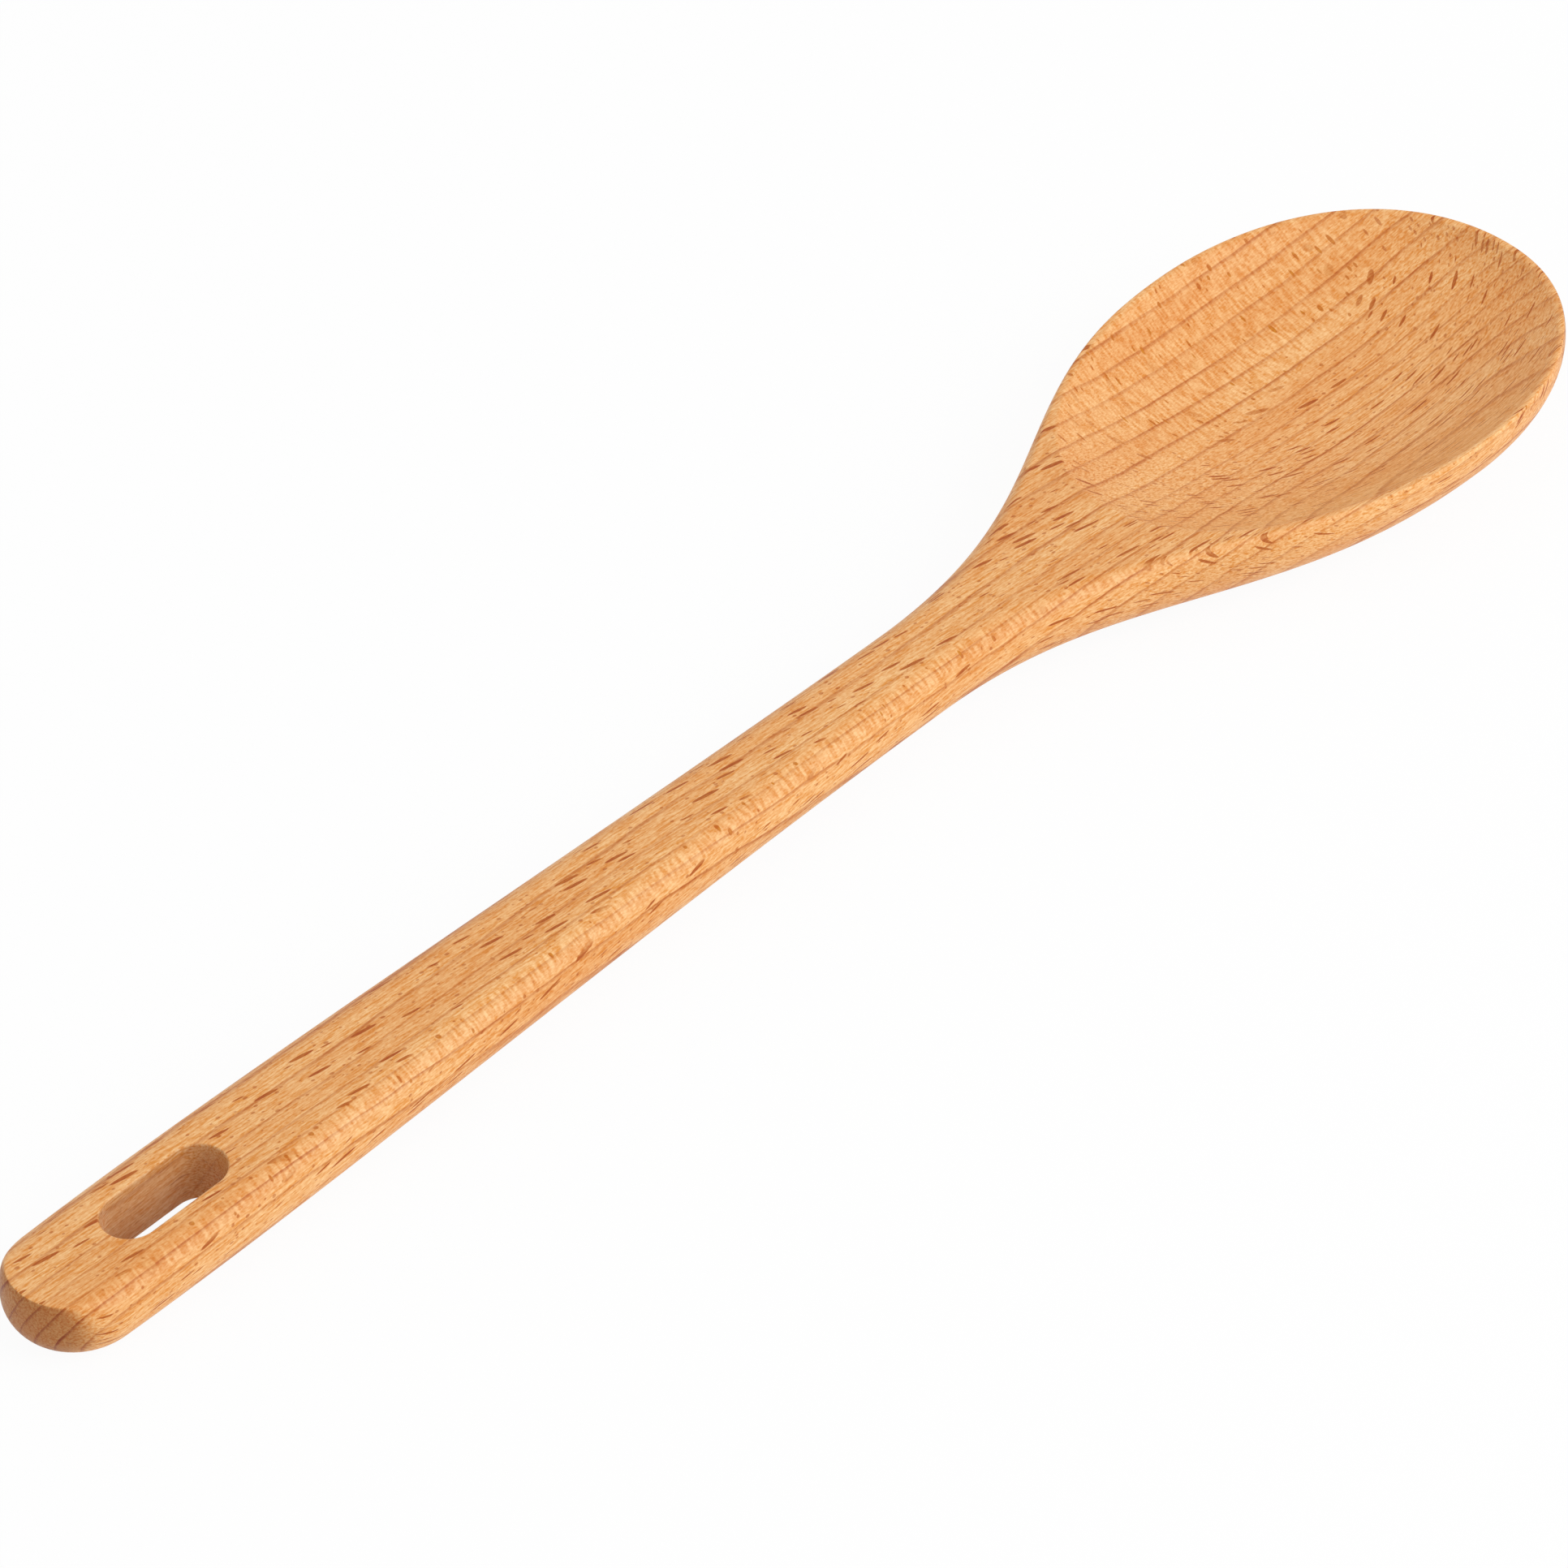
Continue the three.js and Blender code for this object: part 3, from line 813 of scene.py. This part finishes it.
def lay_rays(tree, colour, big_rays, small_rays, flatness, end_cut):
    """Lays the rays over the wood: dashes where they are cut across, flecks where they are seen flat."""
    ray_colour = add_node(
        tree, MIX, (flatness, linear(RAY_CUT_ACROSS), linear(RAY_SEEN_FLAT)), data_type="RGBA",
    )
    small = add_node(tree, MAP_RANGE, (flatness, 0.0, 1.0, *SMALL_RAY_STRENGTH))
    small = add_node(tree, MATH, (small_rays, small), operation="MULTIPLY")
    colour = add_node(tree, MIX, (small, colour, ray_colour), data_type="RGBA")
    big = add_node(tree, MAP_RANGE, (flatness, 0.0, 1.0, *BIG_RAY_STRENGTH))
    big = add_node(tree, MATH, (big_rays, big), operation="MULTIPLY")
    lengthwise = add_node(tree, MAP_RANGE, (end_cut, 0.0, END_WITHOUT_RAYS, 1.0, 0.0))
    big = add_node(tree, MATH, (big, lengthwise), operation="MULTIPLY")
    return add_node(tree, MIX, (big, colour, ray_colour), data_type="RGBA")


def oiled_beech():
    material = bpy.data.materials.new("oiled beech")
    material.use_nodes = True
    tree = material.node_tree
    tree.nodes.clear()
    spot, from_pith, radius, grain = wood_grain(tree)
    big_rays = wood_rays(tree, grain, BIG_RAY_ROOM, BIG_RAY_HALF, BIG_RAY_FADE)
    small_rays = wood_rays(tree, grain, SMALL_RAY_ROOM, SMALL_RAY_HALF, SMALL_RAY_FADE)
    flatness, end_cut = face_directions(tree, from_pith)
    texture = fine_texture(tree, grain, flatness)
    in_slot = slot_wall(tree, spot)
    oiled = add_node(tree, MAP_RANGE, (in_slot, 0.0, 1.0, 1.0, SLOT_END_GRAIN))
    end_cut = add_node(tree, MATH, (end_cut, oiled), operation="MULTIPLY")

    rings = growth_rings(tree, spot, tree_years(tree, spot, radius))
    darker = add_node(tree, MAP_RANGE, (end_cut, 0.0, END_GRAIN_MOST, 1.0, END_RING_STRENGTH))
    rings = add_node(tree, MATH, (rings, darker), operation="MULTIPLY")
    colour = wood_colour(tree, grain, rings)
    colour = lay_rays(tree, colour, big_rays, small_rays, flatness, end_cut)
    colour = add_node(
        tree, MIX, (end_cut, colour, linear(END_GRAIN)), data_type="RGBA", blend_type="MULTIPLY",
    )
    # Painted shade: the slot's wall is mixed towards a greyer, darker colour
    slot_shade = add_node(tree, MATH, (in_slot, SLOT_SHADE_SHARE), operation="MULTIPLY")
    colour = add_node(tree, MIX, (slot_shade, colour, linear(SLOT_SHADE_GREY)), data_type="RGBA")
    light = add_node(tree, MAP_RANGE, (texture, *TEXTURE_RANGE))
    fibres = add_node(tree, MIX, (light, linear(DARK_FIBRE), linear(LIGHT_FIBRE)), data_type="RGBA")
    colour = add_node(tree, MIX, (1.0, colour, fibres), data_type="RGBA", blend_type="MULTIPLY")

    relief = add_node(tree, MATH, (big_rays, -RAY_PIT_DEPTH, texture), operation="MULTIPLY_ADD")
    bump = add_node(
        tree, "ShaderNodeBump",
        {"Strength": RELIEF_STRENGTH, "Distance": RELIEF_HEIGHT * METRES_PER_MM, "Height": relief},
    )
    roughness = add_node(tree, MAP_RANGE, (texture, *TEXTURE_RANGE, *TEXTURE_ROUGHNESS))
    surface = add_node(
        tree, "ShaderNodeBsdfPrincipled",
        {
            "Base Color": colour, "Roughness": roughness, "IOR": 1.35, "Normal": bump,
            "Coat Weight": 0.08, "Coat Roughness": 0.25,
        },
    )
    add_node(tree, "ShaderNodeOutputMaterial", {"Surface": surface})
    return material


# Studio

def background_rays(tree):
    """One for the rays that see a plain white background: the camera's, glossy and see-through ones."""
    seen = 0.0
    for kind in ("Is Camera Ray", "Is Glossy Ray", "Is Transmission Ray"):
        ray = add_node(tree, "ShaderNodeLightPath", output=kind)
        seen = add_node(tree, MATH, (seen, ray), operation="MAXIMUM")
    return seen


def white_paper():
    """Matt white paper: a clean background to the camera, which keeps the spoon's soft shadow."""
    material = bpy.data.materials.new("white paper")
    material.use_nodes = True
    tree = material.node_tree
    tree.nodes.clear()
    paper = add_node(tree, "ShaderNodeBsdfDiffuse", {"Color": linear(PAPER)})
    glow = add_node(tree, "ShaderNodeEmission", {"Color": linear(WHITE), "Strength": 1.0})
    share = add_node(tree, MATH, (background_rays(tree), GLOW_SHARE), operation="MULTIPLY")
    mixed = add_node(tree, "ShaderNodeMixShader", (share, paper, glow))
    add_node(tree, "ShaderNodeOutputMaterial", {"Surface": mixed})
    return material


def white_floor():
    out = FLOOR_SIDE / 2 * METRES_PER_MM
    height = -FLOOR_DROP * METRES_PER_MM
    corners = [(-out, -out, height), (out, -out, height), (out, out, height), (-out, out, height)]
    mesh = bpy.data.meshes.new("floor")
    mesh.from_pydata(corners, [], [(0, 1, 2, 3)])
    mesh.materials.append(white_paper())
    floor = bpy.data.objects.new("floor", mesh)
    bpy.context.scene.collection.objects.link(floor)
    return floor


def white_room():
    """An even white world that fills the shadows and is white where it is seen."""
    world = bpy.data.worlds.new("white room")
    world.use_nodes = True
    tree = world.node_tree
    tree.nodes.clear()
    strength = add_node(tree, MAP_RANGE, (background_rays(tree), 0.0, 1.0, ROOM_LIGHT, 1.0))
    background = add_node(tree, "ShaderNodeBackground", {"Color": linear(WHITE), "Strength": strength})
    add_node(tree, "ShaderNodeOutputWorld", {"Surface": background})
    bpy.context.scene.world = world


def key_lamp():
    lamp = bpy.data.lights.new("key lamp", "AREA")
    lamp.shape = "DISK"
    lamp.size = KEY_SIZE * METRES_PER_MM
    lamp.energy = KEY_POWER
    holder = bpy.data.objects.new("key lamp", lamp)
    holder.location = (CAMERA_AIM + KEY_DIRECTION * KEY_DISTANCE) * METRES_PER_MM
    holder.rotation_euler = KEY_DIRECTION.to_track_quat("Z", "Y").to_euler()
    bpy.context.scene.collection.objects.link(holder)


def photo_camera():
    forward = Vector((
        math.cos(CAMERA_ELEVATION) * math.cos(CAMERA_BEARING),
        math.cos(CAMERA_ELEVATION) * math.sin(CAMERA_BEARING),
        -math.sin(CAMERA_ELEVATION),
    ))
    camera = bpy.data.cameras.new("photo camera")
    camera.lens = CAMERA_LENS
    camera.clip_start = CAMERA_NEAR * METRES_PER_MM
    camera.clip_end = CAMERA_FAR * METRES_PER_MM
    holder = bpy.data.objects.new("photo camera", camera)
    holder.location = (CAMERA_AIM - forward * CAMERA_DISTANCE) * METRES_PER_MM
    holder.rotation_euler = forward.to_track_quat("-Z", "Y").to_euler()
    bpy.context.scene.collection.objects.link(holder)
    bpy.context.scene.camera = holder


bpy.context.scene.view_settings.view_transform = "Standard"
spoon = carve_spoon(oiled_beech())
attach(spoon, "root")
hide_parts("spoon_body")
white_floor()
white_room()
key_lamp()
photo_camera()
